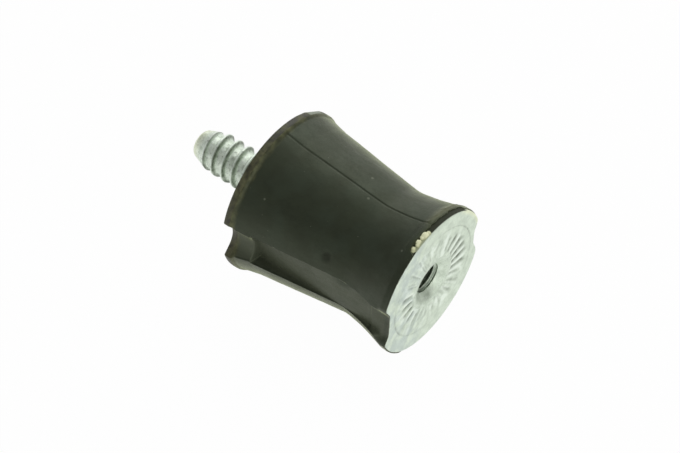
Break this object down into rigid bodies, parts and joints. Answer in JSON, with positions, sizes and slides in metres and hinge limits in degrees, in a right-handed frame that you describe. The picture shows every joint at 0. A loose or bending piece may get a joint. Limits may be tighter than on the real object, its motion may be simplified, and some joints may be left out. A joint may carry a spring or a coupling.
{
  "type": "rubber anti-vibration mount",
  "caption": "Waisted, grooved rubber anti-vibration mount between notched steel plates, with a coarse-threaded stud at one end and a tapped hole at the other.",
  "frame": {"origin": "centre of the tapped plate's outer face, on which the mount stands", "axes": "+Z along the mount's axis from the tapped face to the stud's tip; the two grooves face -Y and +Y; +X completes the right-handed frame"},
  "size_m": [0.0246, 0.024, 0.0405],
  "materials": {
    "rubber": "moulded black natural rubber, semi-matt with fine mottling",
    "zinc_plate": "bright zinc-plated steel, pressed face with fine radial serrations",
    "zinc_bush": "zinc-plated steel, machined and tapped",
    "coated_plate": "steel disc with a thin olive-brown bonding coat on its rim",
    "zinc_stud": "bright zinc-plated steel, rolled thread"
  },
  "bodies": {
    "root": {"rubber_body": "rubber", "tapped_plate": "zinc_plate", "threaded_bush": "zinc_bush", "stud_plate": "coated_plate", "threaded_stud": "zinc_stud"}
  },
  "joints": []
}
